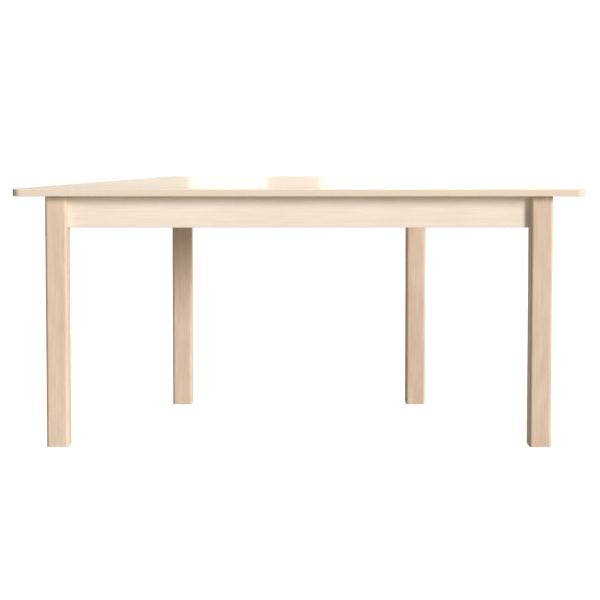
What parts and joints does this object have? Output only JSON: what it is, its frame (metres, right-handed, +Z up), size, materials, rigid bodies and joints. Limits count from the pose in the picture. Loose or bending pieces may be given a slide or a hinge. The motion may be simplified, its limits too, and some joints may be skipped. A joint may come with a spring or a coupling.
{
  "type": "communion table",
  "caption": "Free-standing wooden table with a half-hexagon laminated top, aprons set back under it and square bolt-on legs, for serving, worship or group seating.",
  "frame": {"origin": "on the floor, under the middle of the table top's bounding box", "axes": "+Z up, +X along the long edge, +Y from the long edge towards the short edge; the long edge faces -Y"},
  "size_m": [1.5634, 0.6928, 0.72],
  "materials": {
    "top_laminate": "pale birch pattern laminate, satin lacquer gloss",
    "edge_band": "pale birch pattern edge band, satin",
    "core": "raw particle board",
    "underside": "pale backing laminate, matt",
    "leg": "solid birch, clear satin lacquer",
    "apron": "pale solid birch, clear satin lacquer",
    "corner_block": "planed hardwood, unfinished",
    "dowel": "beech, unfinished",
    "zinc": "bright zinc plate",
    "bracket_steel": "zinc plated pressed steel",
    "glide": "moulded plastic, matt"
  },
  "bodies": {
    "root": {"tabletop_core": "core", "top_laminate": "top_laminate", "underside_laminate": "underside", "edge_band": "edge_band", "leg_front_left": "leg", "leg_front_right": "leg", "leg_rear_left": "leg", "leg_rear_right": "leg", "apron_front": "apron", "apron_rear": "apron", "apron_left": "apron", "apron_right": "apron", "corner_block_front_left": "corner_block", "corner_block_front_right": "corner_block", "corner_block_rear_left": "corner_block", "corner_block_rear_right": "corner_block", "hanger_bolts": "zinc", "bolt_washers": "zinc", "bolt_nuts": "zinc", "block_screws": "zinc", "front_apron_dowels": "dowel", "rear_apron_dowels": "dowel", "left_apron_dowels": "dowel", "right_apron_dowels": "dowel", "front_top_brackets": "bracket_steel", "rear_top_brackets": "bracket_steel", "left_top_brackets": "bracket_steel", "right_top_brackets": "bracket_steel", "bracket_apron_screws": "zinc", "bracket_top_screws": "zinc", "glide_front_left": "glide", "glide_front_right": "glide", "glide_rear_left": "glide", "glide_rear_right": "glide", "glide_nails": "zinc"}
  },
  "joints": []
}
